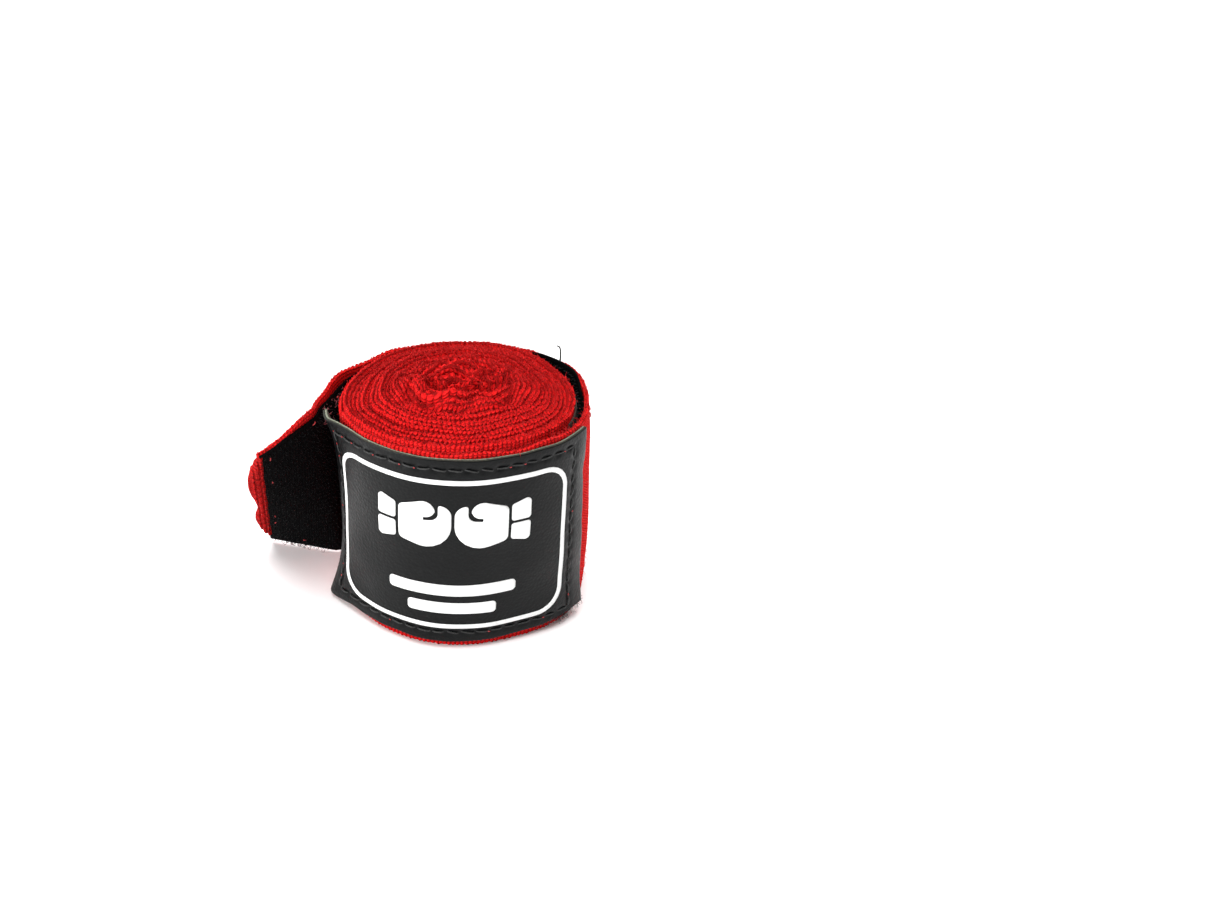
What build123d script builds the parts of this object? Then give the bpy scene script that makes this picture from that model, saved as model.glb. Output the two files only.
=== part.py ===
from build123d import *
import os
from math import cos, degrees, radians, sin

# Hand wrap rolled up for storage, standing on its end.  Millimetres.
# Z is the axis of the roll, -Y is the side that carries the sewn patch, and the
# strip winds outward anticlockwise when it is seen from above (+Z).

# ---- driving dimensions ----------------------------------------------------
STRIP_WIDTH = 50.0       # the roll's height: a two inch strip
STRIP_THICK = 0.95       # elastic cotton knit
PITCH = 1.0              # radius gained by every turn
CENTRE_SHIFT = PITCH / 4  # half turns are struck from two centres, this far off the axis
CORE_RADIUS = 4.45       # middle of the strip at its first half turn
FULL_TURNS = 22          # turns below the last, looser one

LAST_TURN_START = 180.0  # degrees round the roll, where the last turn begins
LIFT_START, LIFT_END = 290.0, 335.0  # where the hook tape pushes the last turn outward
LIFT = 2.3               # by this much
PEEL_ANGLE = 352.0       # hinge line between the patched part and the peeling band
TAB_ANGLE = 528.0        # hinge line between the band and the closing tab
PEEL_GAP = 0.75          # half the gap left along each hinge line
TAB_GAP = 1.2

LOOP_PLY = 0.6           # thumb loop: thickness of the tape it is made of
LOOP_WIDTH = 18.0
LOOP_SLOT = 0.04         # the flattened inside of the loop

TAPE_WIDTH = 46.0        # hook tape and loop tape
TAPE_BOTTOM = 1.6
HOOK_TAPE_THICK = 1.2    # woven base with its hooks
HOOK_TAPE_START = 318.0
LOOP_TAPE_THICK = 0.8
LOOP_TAPE_BEFORE = 28.0  # degrees before and after the roll's right hand side
LOOP_TAPE_AFTER = 75.0
SKIN_GAP = 0.02          # clearance between layers that lie on each other

PATCH_LEFT, PATCH_RIGHT = -69.0, 66.0  # degrees round from the front
PATCH_BOTTOM, PATCH_TOP = 2.0, 49.8
BACKING_THICK = 0.4      # woven base of the imitation leather
LEATHER_THICK = 0.5
PRINT_THICK = 0.1

BORDER_LEFT, BORDER_RIGHT = -30.3, 26.8  # along the patch, from its front line
BORDER_BOTTOM, BORDER_TOP = 5.9, 45.4
BORDER_LINE = 1.3
BORDER_CORNER = 6.5
STITCH_LEFT, STITCH_RIGHT = -31.9, 29.4
STITCH_BOTTOM, STITCH_TOP = 4.6, 47.4
STITCH_LENGTH, STITCH_WIDTH, STITCH_HEIGHT = 2.5, 0.45, 0.25
STITCH_PITCH = 3.4

TAB_LENGTH = 23.6        # along the tab's lower edge, from the hinge line
TAB_TAPE_LENGTH = 20.2
TAB_HEADING = 166.5      # direction of the lower edge, degrees from +X
TAB_ROOT_LEAN = 4.0      # the tab's top comes forward, more and more towards
TAB_END_LEAN = 39.0      # its free end
TAB_LEAN_HEADING = -77.5
TAB_HEM = 3.3            # the fold at the free end
TAB_RISE = 1.0           # keeps the leaning edge clear of the floor

OUT_DIR = "parts"


# ---- the path of the strip ---------------------------------------------------
def turn_radius(angle):
    """Radius of the middle of the strip along the last turn."""
    share = min(max((angle - LIFT_START) / (LIFT_END - LIFT_START), 0.0), 1.0)
    ease = share * share * (3 - 2 * share)
    first = CORE_RADIUS + FULL_TURNS + CENTRE_SHIFT
    return first + PITCH * (angle - LAST_TURN_START) / 360 + LIFT * ease


def turn_point(angle, offset, z=0.0):
    """A point beside the last turn: offset is outward from the strip's middle."""
    radius = turn_radius(angle) + offset
    return Vector(radius * cos(radians(angle)), radius * sin(radians(angle)), z)


def turn_curve(start, end, offset, step=4.0):
    count = max(3, round(abs(end - start) / step))
    angles = [start + (end - start) * i / count for i in range(count + 1)]
    return Spline([turn_point(angle, offset) for angle in angles])


def slab(inner_edges, outer_edges, bottom, height):
    """A closed solid between two rows of edges that run the same way."""
    caps = [
        Line(inner_edges[0] @ 0, outer_edges[0] @ 0),
        Line(inner_edges[-1] @ 1, outer_edges[-1] @ 1),
    ]
    outline = Wire([*inner_edges, *outer_edges, *caps])
    return extrude(Pos(0, 0, bottom) * Face(outline), height, dir=(0, 0, 1))


def turn_ribbon(start, end, inner, outer, bottom, height):
    """A layer that follows the last turn."""
    return slab(
        [turn_curve(start, end, inner)],
        [turn_curve(start, end, outer)],
        bottom,
        height,
    )


def arcs(half_turns, offset):
    """Edges of a run of arcs, each (centre x, radius, start angle, sweep)."""
    return [
        CenterArc((centre, 0), radius + offset, start, sweep)
        for centre, radius, start, sweep in half_turns
    ]


def gap_angle(angle, gap):
    """A gap as an angle on the last turn."""
    return degrees(gap / turn_radius(angle))


PEEL_MARGIN = gap_angle(PEEL_ANGLE, PEEL_GAP)
TAB_MARGIN = gap_angle(TAB_ANGLE, TAB_GAP)


# ---- the fabric strip --------------------------------------------------------
def make_strip_coil():
    """The strip from its first end in the core to the peeling line."""
    half_turns = []
    for turn in range(FULL_TURNS):
        half_turns.append((-CENTRE_SHIFT, CORE_RADIUS + turn * PITCH, 0, 180))
        half_turns.append((CENTRE_SHIFT, CORE_RADIUS + (turn + 0.5) * PITCH, 180, 180))
    half_turns.append((-CENTRE_SHIFT, CORE_RADIUS + FULL_TURNS * PITCH, 0, 180))
    end = PEEL_ANGLE - PEEL_MARGIN
    sides = [
        [*arcs(half_turns, offset), turn_curve(LAST_TURN_START, end, offset)]
        for offset in (-STRIP_THICK / 2, STRIP_THICK / 2)
    ]
    length = sum(edge.length for side in sides for edge in side) / 2
    print(f"strip in the coil and under the patch: {length:.0f} mm long")
    return slab(*sides, 0, STRIP_WIDTH)


def make_band_strip():
    start = PEEL_ANGLE + PEEL_MARGIN
    end = TAB_ANGLE - TAB_MARGIN
    print(f"strip in the band: {turn_curve(start, end, 0).length:.0f} mm long")
    half = STRIP_THICK / 2
    return turn_ribbon(start, end, -half, half, 0, STRIP_WIDTH)


# ---- tapes and loop ----------------------------------------------------------
def make_thumb_loop():
    """A narrow tape folded double and wound flat in the core.

    Its open ends lie against the strip's first half turn, where they are sewn.
    """
    reach = 2 * (LOOP_PLY + LOOP_SLOT / 2) + 0.06
    outer = CORE_RADIUS - STRIP_THICK / 2 - LOOP_PLY - LOOP_SLOT / 2 - 0.075
    winding = []
    for turn in range(2):
        radius = outer - turn * reach
        inner_radius = radius - reach / 2
        winding.append((-CENTRE_SHIFT, radius, 0, 180))
        winding.append((reach / 2 - CENTRE_SHIFT, inner_radius, 180, 180))
    winding.reverse()
    half = LOOP_PLY + LOOP_SLOT / 2
    bottom = (STRIP_WIDTH - LOOP_WIDTH) / 2
    folded = slab(arcs(winding, -half), arcs(winding, half), bottom, LOOP_WIDTH)
    slot_path = winding[:-1]
    slot = slab(
        arcs(slot_path, -LOOP_SLOT / 2), arcs(slot_path, LOOP_SLOT / 2), bottom, LOOP_WIDTH
    )
    fold_wall = Pos(0, 0, bottom + LOOP_WIDTH / 2) * Box(9, LOOP_PLY, LOOP_WIDTH)
    fold_end = arcs(winding, 0)[0] @ 0
    length = sum(edge.length for edge in arcs(winding, 0))
    print(f"thumb loop: {length:.0f} mm flat")
    fold_wall = Pos(fold_end.X, fold_end.Y, 0) * fold_wall
    return folded - (slot - fold_wall)


def make_loop_tape():
    """Loop tape on the outside of the turn below the band."""
    surface = STRIP_THICK / 2 + SKIN_GAP
    path = [
        (
            CENTRE_SHIFT,
            CORE_RADIUS + (FULL_TURNS - 0.5) * PITCH,
            -LOOP_TAPE_BEFORE,
            LOOP_TAPE_BEFORE,
        ),
        (-CENTRE_SHIFT, CORE_RADIUS + FULL_TURNS * PITCH, 0, LOOP_TAPE_AFTER),
    ]
    inner = arcs(path, surface)
    outer = arcs(path, surface + LOOP_TAPE_THICK)
    return slab(inner, outer, TAPE_BOTTOM, TAPE_WIDTH)


def make_hook_tape(start, end):
    """Hook tape on the inside of the last turn, between two angles."""
    outer = -STRIP_THICK / 2 - SKIN_GAP
    return turn_ribbon(start, end, outer - HOOK_TAPE_THICK, outer, TAPE_BOTTOM, TAPE_WIDTH)


# ---- the patch ---------------------------------------------------------------
BACKING_INNER = STRIP_THICK / 2 + SKIN_GAP
LEATHER_INNER = BACKING_INNER + BACKING_THICK + SKIN_GAP
LEATHER_OUTER = LEATHER_INNER + LEATHER_THICK


def patch_layer(inner, outer):
    """One layer of the patch, curved round the front of the last turn."""
    return turn_ribbon(
        270 + PATCH_LEFT,
        270 + PATCH_RIGHT,
        inner,
        outer,
        PATCH_BOTTOM,
        PATCH_TOP - PATCH_BOTTOM,
    )


def patch_angles():
    """Distance along the leather from its front line, at every half degree."""
    table = [(0.0, 270.0)]
    for direction in (-0.5, 0.5):
        distance = 0.0
        angle = 270.0
        while 270 + PATCH_LEFT - 4 < angle < 270 + PATCH_RIGHT + 4:
            here = turn_point(angle, LEATHER_OUTER)
            angle += direction
            step = (turn_point(angle, LEATHER_OUTER) - here).length
            distance += step if direction > 0 else -step
            table.append((distance, angle))
    return sorted(table)


PATCH_ANGLES = patch_angles()


def patch_angle(along):
    """The angle on the roll of a distance along the leather."""
    for (low, low_angle), (high, high_angle) in zip(PATCH_ANGLES, PATCH_ANGLES[1:]):
        if low <= along <= high:
            return low_angle + (high_angle - low_angle) * (along - low) / (high - low)
    raise ValueError("that point is off the patch")


def patch_face(outline):
    """A flat outline, seen from the front.  Points are (along, up)."""
    front = []
    for along, up in outline:
        front.append((turn_point(patch_angle(along), LEATHER_OUTER).X, up))
    return make_face(Polyline(*front, close=True))


def print_shape(outline, hole=None):
    """A thin printed solid that lies on the leather."""
    face = patch_face(outline)
    if hole:
        face = face - patch_face(hole)
    reach = turn_radius(PEEL_ANGLE) + 5
    skin = turn_ribbon(
        270 + PATCH_LEFT + 2,
        270 + PATCH_RIGHT - 2,
        LEATHER_OUTER + SKIN_GAP,
        LEATHER_OUTER + SKIN_GAP + PRINT_THICK,
        PATCH_BOTTOM,
        PATCH_TOP - PATCH_BOTTOM,
    )
    return skin & extrude(Plane.XZ * face, reach, dir=(0, -1, 0))


def rounded_box(left, right, bottom, top, corner, points=6):
    """Outline of a rounded rectangle, anticlockwise."""
    outline = []
    corners = (
        (right - corner, bottom + corner, -90),
        (right - corner, top - corner, 0),
        (left + corner, top - corner, 90),
        (left + corner, bottom + corner, 180),
    )
    for x, z, first in corners:
        for step in range(points + 1):
            turn = radians(first + 90 * step / points)
            outline.append((x + corner * cos(turn), z + corner * sin(turn)))
    return outline


def make_patch_border():
    return print_shape(
        rounded_box(BORDER_LEFT, BORDER_RIGHT, BORDER_BOTTOM, BORDER_TOP, BORDER_CORNER),
        rounded_box(
            BORDER_LEFT + BORDER_LINE,
            BORDER_RIGHT - BORDER_LINE,
            BORDER_BOTTOM + BORDER_LINE,
            BORDER_TOP - BORDER_LINE,
            BORDER_CORNER - BORDER_LINE,
        ),
    )


GLOVE_CENTRE = -0.6      # line between the two printed gloves
GLOVE_WIDTH = 16.6
GLOVE_TOP, GLOVE_BOTTOM = 40.4, 26.2
CUFF_WIDTH = 4.4
PRINT_SLIT = 0.7         # bare leather between neighbouring printed shapes
BARS = ((-15.0, 13.6, 15.2, 18.2), (-10.6, 9.2, 10.2, 13.2))


def make_patch_emblem():
    """Two plain boxing gloves, knuckle to knuckle."""
    shapes = []
    middle = (GLOVE_TOP + GLOVE_BOTTOM) / 2
    for side in (-1, 1):
        knuckles = GLOVE_CENTRE + side * PRINT_SLIT / 2
        wrist = knuckles + side * (GLOVE_WIDTH - CUFF_WIDTH - PRINT_SLIT)
        cuff = wrist + side * PRINT_SLIT
        cuff_end = cuff + side * CUFF_WIDTH
        fist = sorted((knuckles, wrist))
        band = sorted((cuff, cuff_end))
        thumb_tip = knuckles + side * 3.4
        thumb = sorted((thumb_tip, wrist))
        fist_shape = print_shape(
            rounded_box(*fist, GLOVE_BOTTOM, GLOVE_TOP - 2.6, 3.6)
        )
        thumb_shape = rounded_box(*thumb, middle + 2.6, GLOVE_TOP, 2.0)
        slit_box = rounded_box(
            thumb[0] - PRINT_SLIT, thumb[1] + PRINT_SLIT, middle + 2.6 - PRINT_SLIT, GLOVE_TOP, 2.4
        )
        shapes.append(fist_shape - print_shape(slit_box))
        shapes.append(print_shape(thumb_shape))
        shapes.append(print_shape(rounded_box(*band, GLOVE_BOTTOM + 1.6, GLOVE_TOP - 1.2, 1.0)))
    return shapes


def make_patch_bars():
    """Two plain bars under the gloves."""
    shapes = []
    for left, right, bottom, top in BARS:
        corner = (top - bottom) * 0.3
        shapes.append(print_shape(rounded_box(left, right, bottom, top, corner)))
    return shapes


# ---- stitches ----------------------------------------------------------------
def stitch(position, along, outward):
    """One stitch: its underside touches the surface at position."""
    place = Plane(origin=position, x_dir=along, z_dir=outward)
    box = Box(
        STITCH_LENGTH,
        STITCH_WIDTH,
        STITCH_HEIGHT,
        align=(Align.CENTER, Align.CENTER, Align.MIN),
    )
    return place * box


def spaced(start, end, pitch=STITCH_PITCH):
    """Even positions from start to end, both included."""
    count = max(1, round(abs(end - start) / pitch))
    return [start + (end - start) * i / count for i in range(count + 1)]


def turn_frame(angle):
    """Tangent and outward direction of the last turn."""
    ahead = (turn_point(angle + 0.2, 0) - turn_point(angle - 0.2, 0)).normalized()
    return ahead, ahead.cross(Vector(0, 0, 1))


def make_patch_stitches():
    stitches = []
    surface = LEATHER_OUTER + SKIN_GAP
    margin = STITCH_PITCH / 2
    for up in (STITCH_BOTTOM, STITCH_TOP):
        for along in spaced(STITCH_LEFT + margin, STITCH_RIGHT - margin):
            angle = patch_angle(along)
            ahead, outward = turn_frame(angle)
            stitches.append(stitch(turn_point(angle, surface, up), ahead, outward))
    for along in (STITCH_LEFT, STITCH_RIGHT):
        angle = patch_angle(along)
        outward = turn_frame(angle)[1]
        for up in spaced(STITCH_BOTTOM + margin, STITCH_TOP - margin):
            place = turn_point(angle, surface, up)
            stitches.append(stitch(place, Vector(0, 0, 1), outward))
    return stitches


def make_band_stitches():
    """Two rows on the outside of the band that hold the hook tape."""
    stitches = []
    surface = STRIP_THICK / 2 + SKIN_GAP
    start, end = PEEL_ANGLE + 6, TAB_ANGLE - 6
    pitch = degrees(STITCH_PITCH / turn_radius(TAB_ANGLE))
    for up in (TAPE_BOTTOM + 2, TAPE_BOTTOM + TAPE_WIDTH - 2):
        for angle in spaced(start, end, pitch):
            ahead, outward = turn_frame(angle)
            stitches.append(stitch(turn_point(angle, surface, up), ahead, outward))
    return stitches


# ---- the closing tab ---------------------------------------------------------
HINGE_FOOT = turn_point(TAB_ANGLE, 0)
TAB_AHEAD = Vector(cos(radians(TAB_HEADING)), sin(radians(TAB_HEADING)), 0)
LEAN_AHEAD = Vector(cos(radians(TAB_LEAN_HEADING)), sin(radians(TAB_LEAN_HEADING)), 0)


def tab_foot(along):
    rise = max(0.0, TAB_RISE * along / TAB_LENGTH)
    return HINGE_FOOT + TAB_AHEAD * along + Vector(0, 0, rise)


def tab_up(along):
    """Direction from the tab's lower edge to its upper one."""
    share = along / TAB_LENGTH
    lean = radians(TAB_ROOT_LEAN + (TAB_END_LEAN - TAB_ROOT_LEAN) * share)
    return Vector(0, 0, cos(lean)) + LEAN_AHEAD * sin(lean)


def tab_outward(along):
    """Away from the hook side, square to the tab at its middle height."""
    nudge = 0.5
    middle = STRIP_WIDTH / 2
    before = tab_foot(along - nudge) + tab_up(along - nudge) * middle
    after = tab_foot(along + nudge) + tab_up(along + nudge) * middle
    return (after - before).normalized().cross(tab_up(along)).normalized()


def tab_layer(start, end, inner, outer, bottom, top, sections=5):
    """A layer of the tab: inner and outer are distances from its middle surface."""
    faces = []
    for step in range(sections):
        along = start + (end - start) * step / (sections - 1)
        up, outward = tab_up(along), tab_outward(along)
        corners = []
        for height, depth in ((bottom, inner), (top, inner), (top, outer), (bottom, outer)):
            corners.append(tab_foot(along) + up * height + outward * depth)
        faces.append(make_face(Polyline(*corners, close=True)))
    return loft(faces)


def make_tab_strip():
    half = STRIP_THICK / 2
    return tab_layer(TAB_GAP, TAB_LENGTH - TAB_HEM - SKIN_GAP, -half, half, 0, STRIP_WIDTH)


def make_tab_hem():
    """The strip's end, folded back on itself and sewn down."""
    half = STRIP_THICK / 2
    start = TAB_LENGTH - TAB_HEM
    return tab_layer(start, TAB_LENGTH, -half - STRIP_THICK, half, 0, STRIP_WIDTH, 3)


def make_tab_hook_tape():
    outer = -STRIP_THICK / 2 - SKIN_GAP
    end = TAB_TAPE_LENGTH
    top = TAPE_BOTTOM + TAPE_WIDTH
    return tab_layer(TAB_GAP, end, outer - HOOK_TAPE_THICK, outer, TAPE_BOTTOM, top)


def make_tab_stitches():
    """Rows on the outside of the tab that hold its hook tape and hem."""
    surface = STRIP_THICK / 2 + 0.12
    end = TAB_TAPE_LENGTH - 2
    stitches = []
    for height in (TAPE_BOTTOM + 2, TAPE_BOTTOM + TAPE_WIDTH - 2):
        for along in spaced(TAB_GAP + 3, end - 2):
            up, outward = tab_up(along), tab_outward(along)
            place = tab_foot(along) + up * height + outward * surface
            ahead = (tab_foot(along + 1) + tab_up(along + 1) * height) - (
                tab_foot(along) + up * height
            )
            sideways = ahead.cross(up).cross(ahead).normalized()
            stitches.append(stitch(place, ahead.normalized(), ahead.cross(sideways).normalized()))
    for height in spaced(TAPE_BOTTOM + 4, TAPE_BOTTOM + TAPE_WIDTH - 4):
        up, outward = tab_up(end), tab_outward(end)
        stitches.append(stitch(tab_foot(end) + up * height + outward * surface, up, outward))
    return stitches


# ---- write every node --------------------------------------------------------
def write(name, shape):
    solids = shape if isinstance(shape, list) else [shape]
    pieces = [solid for item in solids for solid in item.solids()]
    body = pieces[0] if len(pieces) == 1 else Compound(children=pieces)
    body.label = name
    export_step(body, os.path.join(OUT_DIR, f"{name}.step"))


def main():
    os.makedirs("parts", exist_ok=True)
    write("strip_coil", make_strip_coil())
    write("thumb_loop", make_thumb_loop())
    write("loop_tape", make_loop_tape())
    write("hook_tape_root", make_hook_tape(HOOK_TAPE_START, PEEL_ANGLE - PEEL_MARGIN))
    write("patch_backing", patch_layer(BACKING_INNER, BACKING_INNER + BACKING_THICK))
    write("patch_leather", patch_layer(LEATHER_INNER, LEATHER_OUTER))
    write("patch_border", make_patch_border())
    write("patch_emblem", make_patch_emblem())
    write("patch_bars", make_patch_bars())
    write("patch_stitches", make_patch_stitches())
    write("band_strip", make_band_strip())
    write("band_hook_tape", make_hook_tape(PEEL_ANGLE + PEEL_MARGIN, TAB_ANGLE - TAB_MARGIN))
    write("band_stitches", make_band_stitches())
    write("tab_strip", make_tab_strip())
    write("tab_hem", make_tab_hem())
    write("tab_hook_tape", make_tab_hook_tape())
    write("tab_stitches", make_tab_stitches())


main()
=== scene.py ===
import math

import bmesh
import bpy
import numpy as np
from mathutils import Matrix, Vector


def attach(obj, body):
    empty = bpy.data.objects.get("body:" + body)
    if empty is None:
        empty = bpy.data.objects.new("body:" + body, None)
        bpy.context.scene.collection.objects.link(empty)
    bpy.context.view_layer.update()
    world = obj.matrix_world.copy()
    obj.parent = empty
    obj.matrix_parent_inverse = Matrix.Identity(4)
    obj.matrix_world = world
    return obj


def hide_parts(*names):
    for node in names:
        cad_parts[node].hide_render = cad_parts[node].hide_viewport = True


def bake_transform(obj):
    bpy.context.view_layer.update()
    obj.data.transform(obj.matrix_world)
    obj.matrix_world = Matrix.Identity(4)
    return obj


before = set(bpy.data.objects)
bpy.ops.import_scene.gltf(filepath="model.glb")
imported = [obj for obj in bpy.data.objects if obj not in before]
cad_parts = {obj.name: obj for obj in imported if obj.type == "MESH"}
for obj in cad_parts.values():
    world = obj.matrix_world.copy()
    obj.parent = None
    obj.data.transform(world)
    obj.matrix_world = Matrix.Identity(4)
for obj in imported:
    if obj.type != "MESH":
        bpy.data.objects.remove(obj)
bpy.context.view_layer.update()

# A hand wrap rolled up and standing on its end.  Lengths below are millimetres and
# angles are degrees; meshes are written in metres.  Z is the roll's axis, -Y carries
# the sewn patch, and the strip winds outward anticlockwise seen from above.

MM = 0.001
rng = np.random.default_rng(11)

# ---- dimensions shared with the CAD ------------------------------------------
STRIP_WIDTH = 50.0
STRIP_HALF = 0.46            # half the strip's thickness
FIRST_RADIUS = 4.2           # middle of the strip where its first turn starts
LAST = 22 * 360.0            # degrees wound before the last turn
LIFT_START, LIFT_END, LIFT = 290.0, 335.0, 2.3
PEEL_ANGLE, TAB_ANGLE = 352.0, 528.0
TAB_HEADING = 166.5
TAB_RISE = 1.0
TAB_LIFT = 0.9               # how far the tab's root hangs above the floor
TAB_LENGTH = 23.6
TAB_TAPE_END = 20.2
TAPE_WIDTH = 46.0
TAPE_BOTTOM = 1.6
BACKING_THICK, LEATHER_THICK = 0.4, 0.5


# ---- small numeric helpers ---------------------------------------------------
def ramp(value, low, high):
    """0 below low, 1 above high and smooth between them."""
    t = np.clip((np.asarray(value, float) - low) / (high - low), 0, 1)
    return t * t * (3 - 2 * t)


def bell(value, centre, width):
    return np.exp(-(((np.asarray(value, float) - centre) / width) ** 2))


def make_noise(seed, wavelength, count=14, dims=2):
    """A smooth random field of roughly unit size, as a sum of plane waves."""
    source = np.random.default_rng(seed)
    heading = source.normal(size=(count, dims))
    heading /= np.linalg.norm(heading, axis=1)[:, None]
    wave = 2 * np.pi / (wavelength * source.uniform(0.7, 1.5, count))
    phase = source.uniform(0, 2 * np.pi, count)

    def field(*coords):
        total = 0.0
        for k in range(count):
            along = sum(heading[k, d] * coords[d] for d in range(dims))
            total = total + np.sin(wave[k] * along + phase[k])
        return total * math.sqrt(2.0 / count)

    return field


def unit(vectors):
    return vectors / np.maximum(np.linalg.norm(vectors, axis=-1, keepdims=True), 1e-12)


def polar(radius, degrees, height):
    angle = np.radians(degrees)
    return np.stack(
        np.broadcast_arrays(radius * np.cos(angle), radius * np.sin(angle), height), -1
    )


# ---- mesh helpers --------------------------------------------------------------
def make_mesh(name, points, faces, materials, uv=None, face_material=None):
    """A smooth-shaded object from points in millimetres."""
    mesh = bpy.data.meshes.new(name)
    mesh.from_pydata((np.asarray(points) * MM).tolist(), [], [list(f) for f in faces])
    mesh.validate()
    mesh.polygons.foreach_set("use_smooth", np.ones(len(mesh.polygons), bool))
    if uv is not None:
        layer = mesh.uv_layers.new(name="cloth")
        index = np.zeros(len(mesh.loops), np.int32)
        mesh.loops.foreach_get("vertex_index", index)
        layer.data.foreach_set("uv", (np.asarray(uv, np.float32)[index]).ravel())
    piece = bpy.data.objects.new(name, mesh)
    bpy.context.scene.collection.objects.link(piece)
    for material in materials:
        mesh.materials.append(material)
    if face_material is not None:
        mesh.polygons.foreach_set("material_index", np.asarray(face_material, np.int32))
    return piece


def loop_faces(rows, columns, start=0):
    """Quads of a tube: every row is a closed loop of columns points."""
    row = np.arange(rows - 1)[:, None]
    column = np.arange(columns)[None, :]
    after = (column + 1) % columns
    a = start + row * columns + column
    b = start + row * columns + after
    return np.stack([a, a + columns, b + columns, b], -1).reshape(-1, 4)


def tube_piece(name, grid, uv, materials):
    """A closed solid lofted through loops: grid is (rows, columns, 3)."""
    rows, columns, _ = grid.shape
    faces = loop_faces(rows, columns).tolist()
    points = grid.reshape(-1, 3)
    uv = uv.reshape(-1, 2)
    for row, flip in ((0, False), (rows - 1, True)):
        ring = list(range(row * columns, (row + 1) * columns))
        half = columns // 2
        for k in range(half - 1):
            quad = [ring[k], ring[k + 1], ring[columns - 2 - k], ring[columns - 1 - k]]
            faces.append(quad[::-1] if flip else quad)
    return make_mesh(name, points, faces, materials, uv)


RIB = 0.95                   # spacing of the ribs across the strip
RIB_ROW = 1.05               # spacing of the rows of loops beside its edges
ROPE = 1.1                   # spacing of the loops along its edges
ROPE_DRIFT = make_noise(51, 7.0, dims=1)
ROPE_SIZE = make_noise(52, 3.0, dims=1)


def section(side_steps, arc_steps=5):
    """A strip's cross-section as (offset share, height share, corner angle).

    Up the outside, over the top edge, down the inside and under the bottom edge.
    The corner angle is NaN on the sides.
    """
    shares = np.linspace(0, 1, side_steps)
    side = np.ones(side_steps)
    over = np.linspace(0, 180, arc_steps + 2)[1:-1]
    under = over + 180
    offset = np.concatenate([side, np.cos(np.radians(over)), -side, np.cos(np.radians(under))])
    height = np.concatenate([shares, np.ones(arc_steps), shares[::-1], np.zeros(arc_steps)])
    corner = np.concatenate([side * np.nan, over, side * np.nan, under])
    return offset, height, corner


def ribbon(name, surface, stations, bottom, top, centre, half, side_steps, materials,
           arc_steps=5, rope=0.0, rib=0.0, shares=None):
    """A strip of cloth with rounded edges that follows surface(u, h).

    surface gives points and outward normals; centre is the layer's offset from it.
    rope is the height of the loops along both edges and rib that of the ribs.
    """
    offset, height, corner = section(side_steps, arc_steps)
    if shares is not None:
        inner = np.isnan(corner)
        height[inner] = np.concatenate([shares, shares[::-1]])
    n, k = len(stations), len(offset)
    u = np.repeat(stations[:, None], k, 1)
    low = np.broadcast_to(np.asarray(bottom, float), (n,))[:, None]
    high = np.broadcast_to(np.asarray(top, float), (n,))[:, None]
    turn = np.nan_to_num(corner, nan=90.0)[None, :]
    on_edge = ~np.isnan(corner)[None, :]
    rise = np.where(on_edge, half * np.sin(np.radians(turn)), 0.0)
    h = low + half + (high - low - 2 * half) * height[None, :] + rise
    o = half * np.repeat(offset[None, :], n, 0)
    ribs = np.where(offset > 0, rib, 0.0)[None, :] * (np.abs(np.sin(np.pi * u / RIB)) - 0.5)
    from_edge = np.minimum(high - h, h - low)
    rows = 1.3 * rib * (np.abs(np.sin(np.pi * from_edge / RIB_ROW)) - 0.5)
    rows = rows * (1 - ramp(from_edge, 3.5, 5))
    o = o + ~on_edge * np.sign(offset)[None, :] * (ribs + rows)
    twist = rope_twist(u, 1.3 * np.radians(turn)) * on_edge
    h = h + rope * twist * np.sign(np.sin(np.radians(turn)))
    o = o + 0.5 * rope * twist * offset[None, :]
    points, normals = surface(u, h)
    grid = points + normals * (centre + o)[..., None]
    across = np.cumsum(np.concatenate([[0.0], np.hypot(np.diff(h[0]), np.diff(o[0]))]))
    uv = turned_uv(u, np.broadcast_to(across[None, :], u.shape), offset)
    return tube_piece(name, grid, uv * MM, materials)


def turned_uv(along, across, offset):
    """Cloth map whose rows run lengthwise on the inner face, where offset is negative."""
    inside = np.broadcast_to(offset < -0.3, along.shape)
    return np.stack([np.where(inside, across, along), np.where(inside, along, across)], -1)


def rope_twist(run, lead):
    """The uneven loops of a knitted edge, from -1 to 1."""
    phase = 2 * np.pi * run / ROPE + 0.9 * ROPE_DRIFT(run) - lead
    return np.cos(phase) * (0.75 + 0.3 * ROPE_SIZE(run))


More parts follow.
